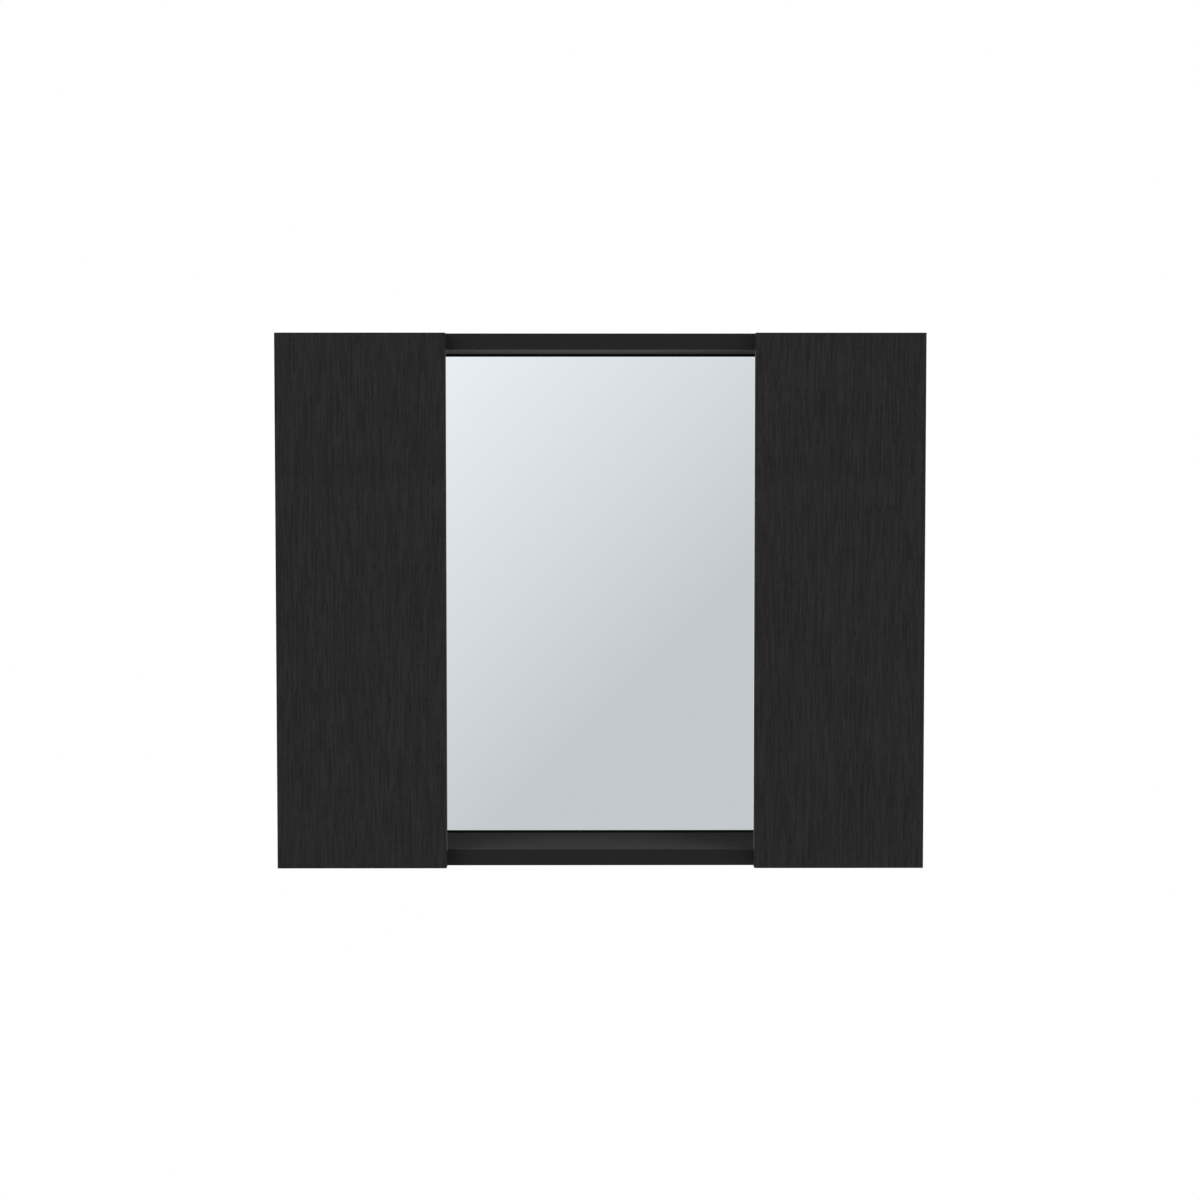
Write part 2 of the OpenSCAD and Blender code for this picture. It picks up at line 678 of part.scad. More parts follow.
// Strips round the four edges of a door
module door_edge_bands(s) color(band_grey)
    side_frame(s) {
        for (u = [0, door_w - band_t])
            block([u, door_gap, z_bottom], [u + band_t, door_gap + door_t, z_top]);
        for (z = [z_bottom, z_top - band_t])
            block([band_t + band_joint, door_gap, z],
                  [door_w - band_t - band_joint, door_gap + door_t, z + band_t]);
    }

module door_bumpers(s) color(clear_rubber)
    side_frame(s) for (z = [z_bottom + bumper_inset, z_top - bumper_inset])
        translate([cabinet_w / 2 - divider_x, bumper_air, z]) rod_y(bumper_d / 2, door_gap - bumper_air);

// Nodes

side_panel(left);  // left_side_panel
side_panel(right);  // right_side_panel
end_panel(upper);  // top_panel
end_panel(lower);  // bottom_panel
divider(left);  // left_divider
divider(right);  // right_divider
back_panel();
hanging_rail(left);  // left_hanging_rail
hanging_rail(right);  // right_hanging_rail
shelf(left, 2);  // left_upper_shelf
shelf(left, 1);  // left_lower_shelf
shelf(right, 2);  // right_upper_shelf
shelf(right, 1);  // right_lower_shelf
shelf_pins();
mirror_glass();  // mirror
mirror_tapes();
carcass_edge_bands();
cam_locks();
cam_bolts();
panel_dowels();
rail_dowels();
divider_screws();
back_panel_nails();
hinge_plate(left, 0);  // left_upper_hinge_plate
hinge_plate(left, 1);  // left_lower_hinge_plate
hinge_plate(right, 0);  // right_upper_hinge_plate
hinge_plate(right, 1);  // right_lower_hinge_plate
hinge_arm(left, 0);  // left_upper_hinge_arm
hinge_arm(left, 1);  // left_lower_hinge_arm
hinge_arm(right, 0);  // right_upper_hinge_arm
hinge_arm(right, 1);  // right_lower_hinge_arm
plate_screws();  // hinge_plate_screws
arm_screws(arm_screw_vs[1]);  // arm_lock_screws
arm_screws(arm_screw_vs[0]);  // arm_adjust_screws
door(left);  // left_door
door_edge_bands(left);  // left_door_edge_bands
hinge_cup(left, 0);  // left_upper_hinge_cup
hinge_cup(left, 1);  // left_lower_hinge_cup
hinge_pins(left);  // left_hinge_pins
cup_screws(left);  // left_cup_screws
door_bumpers(left);  // left_door_bumpers
door(right);  // right_door
door_edge_bands(right);  // right_door_edge_bands
hinge_cup(right, 0);  // right_upper_hinge_cup
hinge_cup(right, 1);  // right_lower_hinge_cup
hinge_pins(right);  // right_hinge_pins
cup_screws(right);  // right_cup_screws
door_bumpers(right);  // right_door_bumpers
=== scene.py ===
"""Dresses a wall cabinet: charcoal boards, a silvered mirror, hinges and fittings, and a plain studio.

Every length is in metres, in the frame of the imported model: X to the right, Y towards the wall, Z up.
"""
import json
import math

import bpy
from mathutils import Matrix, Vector

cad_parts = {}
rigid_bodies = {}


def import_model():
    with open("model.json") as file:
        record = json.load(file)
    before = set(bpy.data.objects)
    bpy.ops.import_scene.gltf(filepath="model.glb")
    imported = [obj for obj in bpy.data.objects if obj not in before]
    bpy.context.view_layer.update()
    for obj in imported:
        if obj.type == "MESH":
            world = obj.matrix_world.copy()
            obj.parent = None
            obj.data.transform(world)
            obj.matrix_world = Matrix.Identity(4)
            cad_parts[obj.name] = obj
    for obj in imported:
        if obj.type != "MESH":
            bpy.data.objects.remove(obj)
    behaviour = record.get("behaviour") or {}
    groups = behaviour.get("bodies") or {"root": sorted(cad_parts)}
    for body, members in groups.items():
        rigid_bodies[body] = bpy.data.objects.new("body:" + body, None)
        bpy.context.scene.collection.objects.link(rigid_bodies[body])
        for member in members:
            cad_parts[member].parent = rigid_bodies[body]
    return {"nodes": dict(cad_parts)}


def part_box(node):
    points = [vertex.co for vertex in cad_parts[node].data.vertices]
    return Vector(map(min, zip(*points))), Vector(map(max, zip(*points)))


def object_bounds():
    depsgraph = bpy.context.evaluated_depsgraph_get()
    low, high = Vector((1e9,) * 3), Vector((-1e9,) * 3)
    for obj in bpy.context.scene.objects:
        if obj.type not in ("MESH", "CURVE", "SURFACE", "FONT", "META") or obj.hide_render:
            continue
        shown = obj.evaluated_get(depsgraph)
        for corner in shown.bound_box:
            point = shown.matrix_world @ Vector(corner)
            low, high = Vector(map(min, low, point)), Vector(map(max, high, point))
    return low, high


bl_info = {
    "name": "Mirrored Wall Cabinet",
    "version": (1, 0, 0),
    "blender": (4, 5, 0),
    "location": "3D View > Sidebar > Cabinet",
    "description": "Finishes the boards, mirror, hinges and fittings of a wall cabinet and lights it",
    "category": "Object",
}

for startup_object in list(bpy.data.objects):
    bpy.data.objects.remove(startup_object)
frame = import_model()
CAD_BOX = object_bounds()
NODES = frame["nodes"]
MM = 0.001
WHITE = (1.0, 1.0, 1.0, 1.0)
BLACK = (0.0, 0.0, 0.0, 1.0)
# Further away than any point of the cabinet
FAR = 100.0
# Least share of its normal that a face has along an axis, to count as flat along it
FLAT = 0.995

# The pressed grain, counted in grain widths across and grain lengths along
LONG_STREAKS = 0.9
SHORT_STREAKS = 2.7
STREAK_FADE = 0.72
DRIFT = 1.6
PATCHES_ACROSS = 0.16
PATCHES_ALONG = 1.3
PATCH_JAG = 0.35
PORES = 3.1
# Sets one pattern of random values apart from another
UNRELATED = 17.31


# Settings that a user would change


class CabinetBoardSettings(bpy.types.PropertyGroup):
    """Finish of the melamine boards and their edge bands."""

    grain_dark: bpy.props.FloatVectorProperty(
        name="Dark grain", description="Colour of the darkest grain lines",
        subtype="COLOR", size=3, min=0, max=1, default=(0.0190, 0.0190, 0.0190),
    )
    grain_light: bpy.props.FloatVectorProperty(
        name="Light grain", description="Colour of the lightest grain lines",
        subtype="COLOR", size=3, min=0, max=1, default=(0.0287, 0.0287, 0.0287),
    )
    pore: bpy.props.FloatVectorProperty(
        name="Pores", description="Colour of the pores pressed into the grain",
        subtype="COLOR", size=3, min=0, max=1, default=(0.0090, 0.0090, 0.0090),
    )
    # Kept near black as painted shade: the gap round the mirror shows this face as a dark shadow line
    foil_and_gap_shade: bpy.props.FloatVectorProperty(
        name="Back foil", description="Colour of the foil on the front of the back panel",
        subtype="COLOR", size=3, min=0, max=1, default=(0.0050, 0.0050, 0.0050),
    )
    grain_width: bpy.props.FloatProperty(
        name="Grain width", description="Width of a grain line",
        unit="LENGTH", default=0.0011, min=0.0002,
    )
    grain_length: bpy.props.FloatProperty(
        name="Grain length", description="Length of a long grain line",
        unit="LENGTH", default=0.024, min=0.002,
    )
    grain_depth: bpy.props.FloatProperty(
        name="Grain depth", description="Depth of the pressed grain",
        unit="LENGTH", default=0.00006, min=0,
    )
    edge_round: bpy.props.FloatProperty(
        name="Edge rounding", description="Rounding along the edge bands",
        unit="LENGTH", default=0.0002, min=0,
    )


class CabinetMirrorSettings(bpy.types.PropertyGroup):
    """Finish of the mirror glass."""

    silver: bpy.props.FloatVectorProperty(
        name="Silver", description="Tint of the reflection",
        subtype="COLOR", size=3, min=0, max=1, default=(0.905, 0.930, 0.930),
    )
    cut_edge: bpy.props.FloatVectorProperty(
        name="Cut edge", description="Colour of the glass seen through its edge",
        subtype="COLOR", size=3, min=0, max=1, default=(0.020, 0.070, 0.055),
    )
    back_paint: bpy.props.FloatVectorProperty(
        name="Back paint", description="Paint over the silver on the back",
        subtype="COLOR", size=3, min=0, max=1, default=(0.16, 0.18, 0.19),
    )


class CabinetMetalSettings(bpy.types.PropertyGroup):
    """Finish of the hinges, screws and pins."""

    nickel: bpy.props.FloatVectorProperty(
        name="Nickel", description="Nickel plating of the hinge arms and cups",
        subtype="COLOR", size=3, min=0, max=1, default=(0.42, 0.41, 0.395),
    )
    zinc: bpy.props.FloatVectorProperty(
        name="Zinc", description="Die-cast zinc of the mounting plates and cam locks",
        subtype="COLOR", size=3, min=0, max=1, default=(0.33, 0.34, 0.35),
    )
    steel: bpy.props.FloatVectorProperty(
        name="Plated steel", description="Zinc-plated steel of screws, nails and shelf pins",
        subtype="COLOR", size=3, min=0, max=1, default=(0.42, 0.43, 0.44),
    )
    metal_round: bpy.props.FloatProperty(
        name="Edge rounding", description="Rounding along the edges of metal pieces",
        unit="LENGTH", default=0.00025, min=0,
    )


class CabinetStageSettings(bpy.types.PropertyGroup):
    """Floor, light and camera."""

    floor_drop: bpy.props.FloatProperty(
        name="Floor drop", description="Height of the cabinet's lower edge above the floor",
        unit="LENGTH", default=1.15, min=0,
    )
    sky: bpy.props.FloatProperty(
        name="Sky", description="Strength of the even light from all round", default=0.62, min=0,
    )
    key_power: bpy.props.FloatProperty(
        name="Key light", description="Power of the large light at the upper left",
        unit="POWER", default=46.0, min=0,
    )
    fill_power: bpy.props.FloatProperty(
        name="Fill light", description="Power of the large light at the right",
        unit="POWER", default=22.0, min=0,
    )
    screen_light: bpy.props.FloatVectorProperty(
        name="Screen, light end", description="Light end of the screen that the mirror reflects",
        subtype="COLOR", size=3, min=0, max=1, default=(0.900, 0.920, 0.955),
    )
    screen_dark: bpy.props.FloatVectorProperty(
        name="Screen, dark end", description="Dark end of the screen that the mirror reflects",
        subtype="COLOR", size=3, min=0, max=1, default=(0.600, 0.625, 0.655),
    )
    camera_place: bpy.props.FloatVectorProperty(
        name="Camera place", description="Place of the camera in the cabinet's frame",
        subtype="XYZ_LENGTH", size=3, default=(-0.01311, -2.59843, -0.06139),
    )
    camera_turn: bpy.props.FloatVectorProperty(
        name="Camera turn", description="Downward pitch, roll and turn to the left of the camera",
        subtype="EULER", size=3, default=(0.05658, 0.00002, -0.00512),
    )
    camera_lens: bpy.props.FloatProperty(
        name="Lens", description="Focal length on a 36 mm sensor",
        unit="CAMERA", default=80.24, min=10,
    )


# Short calls for node trees


class Sheet:
    """A node tree, with one short call for each thing that the materials need."""

    def __init__(self, tree):
        self.tree = tree
        tree.nodes.clear()

    def node(self, kind, inputs=None, **settings):
        """A node of that kind, with settings as attributes and inputs as values or sockets to link."""
        made = self.tree.nodes.new("ShaderNode" + kind)
        for name, value in settings.items():
            setattr(made, name, value)
        for key, value in (inputs or {}).items():
            self.feed(made.inputs[key], value)
        return made

    def feed(self, socket, value):
        """Links a socket, or sets its value."""
        if isinstance(value, bpy.types.NodeSocket):
            self.tree.links.new(value, socket)
        else:
            socket.default_value = value

    def math(self, operation, first, second=0.0):
        """The result of a Math node."""
        return self.node("Math", {0: first, 1: second}, operation=operation).outputs[0]

    def blend(self, factor, first, second):
        """The colour between two colours."""
        return self.node("Mix", {0: factor, 6: first, 7: second}, data_type="RGBA").outputs[2]

    def between(self, factor, first, second):
        """The value between two values."""
        return self.node("Mix", {0: factor, 2: first, 3: second}, data_type="FLOAT").outputs[0]

    def weighted(self, *parts):
        """The sum of values, each times its share."""
        total = None
        for value, share in parts:
            part = self.math("MULTIPLY", value, share)
            total = part if total is None else self.math("ADD", total, part)
        return total

    def ramp(self, value, low, high, start=0.0, end=1.0, smooth=False):
        """A value stretched from low..high to start..end, and held at the ends."""
        inputs = {0: value, 1: low, 2: high, 3: start, 4: end}
        kind = "SMOOTHSTEP" if smooth else "LINEAR"
        return self.node("MapRange", inputs, interpolation_type=kind, clamp=True).outputs[0]

    def noise(self, vector, scale=1.0, detail=2.0, roughness=0.5):
        """The value of a noise texture."""
        inputs = {"Vector": vector, "Scale": scale, "Detail": detail, "Roughness": roughness}
        return self.node("TexNoise", inputs).outputs[0]

    def random(self, vector):
        """A random value that belongs to a vector."""
        return self.node("TexWhiteNoise", {"Vector": vector}, noise_dimensions="3D").outputs["Value"]

    def vector(self, operation, first, second=(0.0, 0.0, 0.0), result="Vector"):
        """The result of a Vector Math node. A single value counts for all three axes."""
        return self.node("VectorMath", {0: first, 1: second}, operation=operation).outputs[result]

    def scaled(self, vector, factor):
        """A vector times a number."""
        return self.vector("MULTIPLY", vector, (factor, factor, factor))

    def axes(self, vector):
        """The three parts of a vector."""
        return self.node("SeparateXYZ", {0: vector}).outputs

    def place(self, group, **values):
        """A node group in this tree."""
        made = self.node("Group", node_tree=group)
        for name, value in values.items():
            self.feed(made.inputs[name.replace("_", " ")], value)
        return made

    def object_place(self):
        """Where a point lies in its own object, at rest."""
        return self.node("TexCoord").outputs["Object"]

    def object_normal(self):
        """Which way the surface faces in its own object."""
        return self.node("TexCoord").outputs["Normal"]

    def facing(self):
        """The three parts of the way the surface faces."""
        return self.axes(self.object_normal())

    def bump(self, height, distance, strength=1.0):
        """A normal from a height."""
        return self.node("Bump", {"Height": height, "Distance": distance, "Strength": strength}).outputs[0]

    def surface(self, shader):
        """Sends a shader to the material's output."""
        out = self.node("OutputMaterial")
        self.tree.links.new(shader.outputs[0], out.inputs["Surface"])

    def mix_shaders(self, factor, first, second):
        """The shader between two shaders."""
        mix = self.node("MixShader", {0: factor})
        self.tree.links.new(first.outputs[0], mix.inputs[1])
        self.tree.links.new(second.outputs[0], mix.inputs[2])
        return mix

    def surface_out_of_mirror(self, shader):
        """Sends a shader to the output, and lets what the mirror shows directly look past it."""
        path = self.node("LightPath").outputs
        direct = self.math("LESS_THAN", path["Glossy Depth"], 1.5)
        mirrored = self.math("MULTIPLY", path["Is Singular Ray"], direct)
        self.surface(self.mix_shaders(mirrored, shader, self.node("BsdfTransparent")))


def opaque(colour):
    """A colour with full alpha."""
    return (*tuple(colour)[:3], 1.0)


def shaded(colour, share):
    """A share of a colour's brightness."""
    return Vector(colour) * share


def new_group(name, inputs, outputs):
    """A shader node group with named sockets, and its sheet, input node and output node."""
    group = bpy.data.node_groups.new(name, "ShaderNodeTree")
    sheet = Sheet(group)
    for label, kind, value in inputs:
        socket = group.interface.new_socket(name=label, in_out="INPUT", socket_type="NodeSocket" + kind)
        if value is not None:
            socket.default_value = value
    for label, kind in outputs:
        group.interface.new_socket(name=label, in_out="OUTPUT", socket_type="NodeSocket" + kind)
    entry = group.nodes.new("NodeGroupInput")
    leave = group.nodes.new("NodeGroupOutput")
    return group, sheet, entry.outputs, leave.inputs


def new_material(name):
    """An empty node material and its sheet."""
    material = bpy.data.materials.new(name)
    material.use_nodes = True
    return material, Sheet(material.node_tree)


# Effects that several materials share


def streaks(sheet, column, run, along, count):
    """Random tones down a column, each of which fades into the next near its end."""
    steps = sheet.scaled(run, count)
    cells = sheet.vector("ADD", column, sheet.vector("FLOOR", steps))
    following = sheet.vector("ADD", cells, along)
    passed = sheet.vector("DOT_PRODUCT", sheet.vector("FRACTION", steps), along, result="Value")
    fade = sheet.ramp(passed, STREAK_FADE, 1.0, smooth=True)
    return sheet.between(fade, sheet.random(cells), sheet.random(following))


def pressed_grain_group():
    """Straight lines of wood grain in patches: a tone, its pores and the height of the pressed pattern."""
    group, sheet, given, wanted = new_group(
        "Pressed grain",
        [
            ("Place", "Vector", None), ("Lines", "Vector", (900.0, 900.0, 45.0)),
            ("Across", "Vector", (1.0, 1.0, 0.0)), ("Along", "Vector", (0.0, 0.0, 1.0)),
            ("Seed", "Float", 0.0),
        ],
        [("Tone", "Float"), ("Pores", "Float"), ("Height", "Float")],
    )
    lines = sheet.vector("MULTIPLY", given["Place"], given["Lines"])
    lines = sheet.vector("ADD", lines, given["Seed"])
    column = sheet.vector("MULTIPLY", sheet.vector("FLOOR", lines), given["Across"])
    # Half a step keeps every part off zero, where plus and minus zero give different random values
    column = sheet.vector("ADD", column, (0.5, 0.5, 0.5))
    other_column = sheet.scaled(column, UNRELATED)
    run = sheet.vector("MULTIPLY", lines, given["Along"])
    slide = sheet.vector("MULTIPLY", given["Along"], sheet.random(column))
    slid_run = sheet.vector("ADD", run, slide)

    long_tone = streaks(sheet, column, slid_run, given["Along"], LONG_STREAKS)
    short_tone = streaks(sheet, other_column, slid_run, given["Along"], SHORT_STREAKS)
    drift = sheet.noise(sheet.vector("ADD", other_column, sheet.scaled(run, DRIFT)), detail=1.0)
    patch_across = sheet.vector("MULTIPLY", lines, sheet.scaled(given["Across"], PATCHES_ACROSS))
    jagged_run = sheet.vector("ADD", run, sheet.scaled(slide, PATCH_JAG))
    patch_place = sheet.vector("ADD", patch_across, sheet.scaled(jagged_run, PATCHES_ALONG))
    patches = sheet.noise(patch_place, detail=1.5)
    tone = sheet.weighted((long_tone, 0.40), (short_tone, 0.14), (drift, 0.30), (patches, 0.16))

    pores = sheet.noise(sheet.scaled(lines, PORES), detail=0.5, roughness=0.4)
    pores = sheet.ramp(pores, 0.66, 0.74)
    sheet.feed(wanted["Tone"], sheet.ramp(tone, 0.28, 0.72))
    sheet.feed(wanted["Pores"], pores)
    sheet.feed(wanted["Height"], sheet.weighted((tone, 0.8), (pores, -0.4)))
    return group


def raw_cut_group():
    """Where a board is cut raw, with the look of the chips.

    Only flat faces can be finished: those along X, the front and the back by the shares that are
    given for them, and level ones above High or below Low. The wall of a hole is always raw.
    """
    group, sheet, given, wanted = new_group(
        "Raw cuts",
        [
            ("Place", "Vector", None), ("Facing", "Vector", None), ("Along X", "Float", 1.0),
            ("Front", "Float", 1.0), ("Back", "Float", 0.0), ("Low", "Float", 0.0), ("High", "Float", 0.0),
        ],
        [("Mask", "Float"), ("Colour", "Color"), ("Height", "Float")],
    )
    facing = sheet.axes(given["Facing"])
    height = sheet.axes(given["Place"])[2]
    side = sheet.math("GREATER_THAN", sheet.math("ABSOLUTE", facing[0]), FLAT)
    front = sheet.math("LESS_THAN", facing[1], -FLAT)
    back = sheet.math("GREATER_THAN", facing[1], FLAT)
    level = sheet.math("GREATER_THAN", sheet.math("ABSOLUTE", facing[2]), FLAT)
    above = sheet.math("GREATER_THAN", height, given["High"])
    below = sheet.math("LESS_THAN", height, given["Low"])
    finished = sheet.math("MULTIPLY", level, sheet.math("MAXIMUM", above, below))
    for flat, share in ((side, given["Along X"]), (front, given["Front"]), (back, given["Back"])):
        finished = sheet.math("MAXIMUM", finished, sheet.math("MULTIPLY", flat, share))
    chips = sheet.node("TexVoronoi", {"Vector": given["Place"], "Scale": 900.0, "Randomness": 1.0})
    chip_tint = sheet.node("SeparateColor", {0: chips.outputs["Color"]}).outputs[0]
    fibres = sheet.noise(given["Place"], scale=420.0, detail=3.0, roughness=0.6)
    tint = sheet.weighted((chip_tint, 0.55), (fibres, 0.45))
    sheet.feed(wanted["Mask"], sheet.math("SUBTRACT", 1.0, finished))
    sheet.feed(wanted["Colour"], sheet.blend(tint, (0.20, 0.115, 0.055, 1), (0.52, 0.36, 0.20, 1)))
    sheet.feed(wanted["Height"], tint)
    return group


def handling_group():
    """Faint smears and dust that change how sharply a surface shines."""
    group, sheet, given, wanted = new_group(
        "Handling", [("Place", "Vector", None), ("Amount", "Float", 0.06)], [("Shine", "Float")],
    )
    smear_place = sheet.vector("MULTIPLY", given["Place"], (14.0, 14.0, 9.0))
    smears = sheet.noise(smear_place, detail=3.0, roughness=0.6)
    specks = sheet.noise(given["Place"], scale=700.0, detail=1.0)
    mix = sheet.weighted((smears, 0.75), (specks, 0.25))
    centred = sheet.math("SUBTRACT", mix, 0.5)
    sheet.feed(wanted["Shine"], sheet.math("MULTIPLY", centred, given["Amount"]))
    return group


def tool_marks_group():
    """Marks of pressing and tumbling on metal: a tone and a height."""
    group, sheet, given, wanted = new_group(
        "Tool marks",
        [("Place", "Vector", None), ("Lines", "Vector", (3000.0, 3000.0, 300.0))],
        [("Tone", "Float"), ("Height", "Float")],
    )
    drawn = sheet.noise(sheet.vector("MULTIPLY", given["Place"], given["Lines"]))
    dull = sheet.noise(given["Place"], scale=160.0, detail=3.0, roughness=0.6)
    sheet.feed(wanted["Tone"], sheet.weighted((drawn, 0.5), (dull, 0.5)))
    sheet.feed(wanted["Height"], drawn)
    return group


class Effects:
    """The shared node groups, made once."""

    def __init__(self):
        self.grain = pressed_grain_group()
        self.raw_cuts = raw_cut_group()
        self.handling = handling_group()
        self.tool_marks = tool_marks_group()


_effects = []


def effects():
    """The shared node groups."""
    if not _effects:
        _effects.append(Effects())
    return _effects[0]


# Materials


def grain_along(sheet, look, place, axis, seed):
    """The grain group, with its lines along X or Z."""
    along = (1.0, 0.0, 0.0) if axis == "X" else (0.0, 0.0, 1.0)
    across = tuple(1.0 - part for part in along)
    lines = tuple(a / look.grain_width + b / look.grain_length for a, b in zip(across, along))
    return sheet.place(effects().grain, Place=place, Lines=lines, Across=across, Along=along, Seed=seed)


def grain_colour(sheet, look, grain, contrast=1.0):
    """The colour of a board from the tone and pores of its grain."""
    dark, light = Vector(look.grain_dark), Vector(look.grain_light)
    middle = (dark + light) / 2
    low, high = (opaque(middle.lerp(end, contrast)) for end in (dark, light))
    colour = sheet.blend(grain.outputs["Tone"], low, high)
    return sheet.blend(sheet.math("MULTIPLY", grain.outputs["Pores"], contrast), colour, opaque(look.pore))


def board_material(look, name, along, faces, ends=None, sheen=0.18):
    """Charcoal melamine on particle board, with grain along one axis.

    Faces tells which flat faces are finished: along X, the front and the back. With ends, level faces
    are finished only at the top and bottom of that CAD node, and without it everywhere.
    """
    skin_rough, raw_rough, pore_rough = 0.66, 0.88, 0.12
    material, sheet = new_material(name)
    place = sheet.object_place()
    grain = grain_along(sheet, look, place, along, seed=3.7)
    low, high = FAR, -FAR
    if ends:
        low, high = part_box(ends)[0][2] + MM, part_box(ends)[1][2] - MM
    raw = sheet.place(
        effects().raw_cuts, Place=place, Facing=sheet.object_normal(), Along_X=faces[0], Front=faces[1],
        Back=faces[2], Low=low, High=high,
    ).outputs
    shine = sheet.place(effects().handling, Place=place, Amount=0.10).outputs["Shine"]
    rough = sheet.math("ADD", shine, sheet.ramp(raw["Mask"], 0, 1, skin_rough, raw_rough))
    rough = sheet.math("ADD", rough, sheet.math("MULTIPLY", grain.outputs["Pores"], pore_rough))
    pressed = sheet.math("MULTIPLY", grain.outputs["Height"], look.grain_depth / MM)
    chips = sheet.math("MULTIPLY", raw["Height"], 0.2)
    height = sheet.between(raw["Mask"], pressed, chips)
    sheet.surface(sheet.node("BsdfPrincipled", {
        "Base Color": sheet.blend(raw["Mask"], grain_colour(sheet, look, grain), raw["Colour"]),
        "Roughness": rough, "Normal": sheet.bump(height, MM), "IOR": 1.45,
        "Specular IOR Level": 0.0, "Sheen Weight": sheen, "Sheen Roughness": 0.3,
    }))
    return material


def edge_band_material(look, name, low, high, within=FAR):
    """Charcoal edge band.

    The grain runs along X on strips below low or above high that lie within a distance of the middle,
    and along Z on the others.
    """
    contrast, darker = 0.4, 0.42
    material, sheet = new_material(name)
    place = sheet.object_place()
    axes = sheet.axes(place)
    below = sheet.math("LESS_THAN", axes[2], low)
    above = sheet.math("GREATER_THAN", axes[2], high)
    inside = sheet.math("LESS_THAN", sheet.math("ABSOLUTE", axes[0]), within)
    lying = sheet.math("MULTIPLY", sheet.math("ADD", below, above), inside)
    upright_grain = grain_along(sheet, look, place, "Z", seed=1.3)
    lying_grain = grain_along(sheet, look, place, "X", seed=8.1)
    upright_colour = grain_colour(sheet, look, upright_grain, contrast)
    lying_colour = grain_colour(sheet, look, lying_grain, contrast)
    colour = sheet.blend(lying, upright_colour, lying_colour)
    height = sheet.between(lying, upright_grain.outputs["Height"], lying_grain.outputs["Height"])
    shine = sheet.place(effects().handling, Place=place, Amount=0.08).outputs["Shine"]
    sheet.surface_out_of_mirror(sheet.node("BsdfPrincipled", {
        "Base Color": sheet.blend(darker, colour, BLACK), "Roughness": sheet.math("ADD", shine, 0.64),
        "Normal": sheet.bump(height, look.grain_depth, 0.6), "IOR": 1.45, "Specular IOR Level": 0.10,
    }))
    material.use_transparent_shadow = False
    return material


def hardboard_material(look):
    """Back panel: near-black foil on the front, kept that dark as painted shade in the gap round the mirror,
    brown pressed fibres with a mesh print on the back.
    """
    mesh_pitch = 1.6 * MM
    material, sheet = new_material("hardboard")
    place = sheet.object_place()
    axes = sheet.axes(place)
    front = sheet.math("LESS_THAN", sheet.facing()[1], -0.5)
    fibres = sheet.noise(place, scale=260.0, detail=4.0, roughness=0.65)
    blotches = sheet.noise(place, scale=14.0, detail=3.0, roughness=0.6)
    tone = sheet.ramp(sheet.weighted((fibres, 0.7), (blotches, 0.3)), 0.3, 0.7)
    brown = sheet.blend(tone, (0.085, 0.046, 0.022, 1), (0.215, 0.130, 0.068, 1))
    threads = []
    for axis in (0, 2):
        turns = sheet.math("MULTIPLY", axes[axis], 2 * math.pi / mesh_pitch)
        threads.append(sheet.math("SINE", turns))
    mesh = sheet.math("MAXIMUM", threads[0], threads[1])
    relief = sheet.weighted((mesh, 0.06), (fibres, 0.25))
    # The front takes the near-black foil colour, which is painted shade for the gap round the mirror
    sheet.surface(sheet.node("BsdfPrincipled", {
        "Base Color": sheet.blend(front, brown, opaque(look.foil_and_gap_shade)),
        "Roughness": sheet.ramp(front, 0, 1, 0.82, 0.60),
        "Normal": sheet.bump(relief, MM, 0.7), "Specular IOR Level": 0.05,
    }))
    return material


def mirror_material(look):
    """Silvered glass: the front reflects, the cut edges show the green of the glass, the back is painted."""
    edge_rough, back_rough = 0.18, 0.4
    material, sheet = new_material("mirror_glass")
    towards_wall = sheet.facing()[1]
    front = sheet.math("LESS_THAN", towards_wall, -0.5)
    back = sheet.math("GREATER_THAN", towards_wall, 0.5)
    bevel = sheet.math("MULTIPLY", front, sheet.math("GREATER_THAN", towards_wall, -0.98))
    colour = sheet.blend(front, opaque(look.cut_edge), opaque(look.silver))
    colour = sheet.blend(bevel, colour, (0.80, 0.87, 0.85, 1.0))
    colour = sheet.blend(back, colour, opaque(look.back_paint))
    rough = sheet.ramp(front, 0, 1, edge_rough, 0.0)
    rough = sheet.math("ADD", rough, sheet.math("MULTIPLY", back, back_rough))
    sheet.surface(sheet.node("BsdfPrincipled", {
        "Base Color": colour, "Metallic": front, "Roughness": rough, "IOR": 1.52,
    }))
    return material


def metal_material(name, colour, rough, lines=(3000.0, 3000.0, 300.0)):
    """Plated or cast metal with faint tool marks."""
    mark_depth = 0.004 * MM
    material, sheet = new_material(name)
    place = sheet.object_place()
    marks = sheet.place(effects().tool_marks, Place=place, Lines=lines).outputs
    tone = sheet.ramp(marks["Tone"], 0.35, 0.65)
    sheet.surface(sheet.node("BsdfPrincipled", {
        "Base Color": sheet.blend(tone, opaque(shaded(colour, 0.88)), opaque(colour)),
        "Metallic": 0.9,
        "Roughness": sheet.ramp(marks["Tone"], 0.3, 0.7, rough + 0.06, rough - 0.04),
        "Normal": sheet.bump(marks["Height"], mark_depth, 0.5),
    }))
    return material


def wood_material():
    """Plain beech of the dowels, with short dark flecks."""
    material, sheet = new_material("beech")
    fleck_place = sheet.vector("MULTIPLY", sheet.object_place(), (120.0, 1400.0, 1400.0))
    flecks = sheet.noise(fleck_place)
    tone = sheet.ramp(flecks, 0.3, 0.75)
    sheet.surface(sheet.node("BsdfPrincipled", {
        "Base Color": sheet.blend(tone, (0.60, 0.40, 0.20, 1), (0.36, 0.21, 0.09, 1)),
        "Roughness": 0.62, "Normal": sheet.bump(flecks, 0.08 * MM),
    }))
    return material


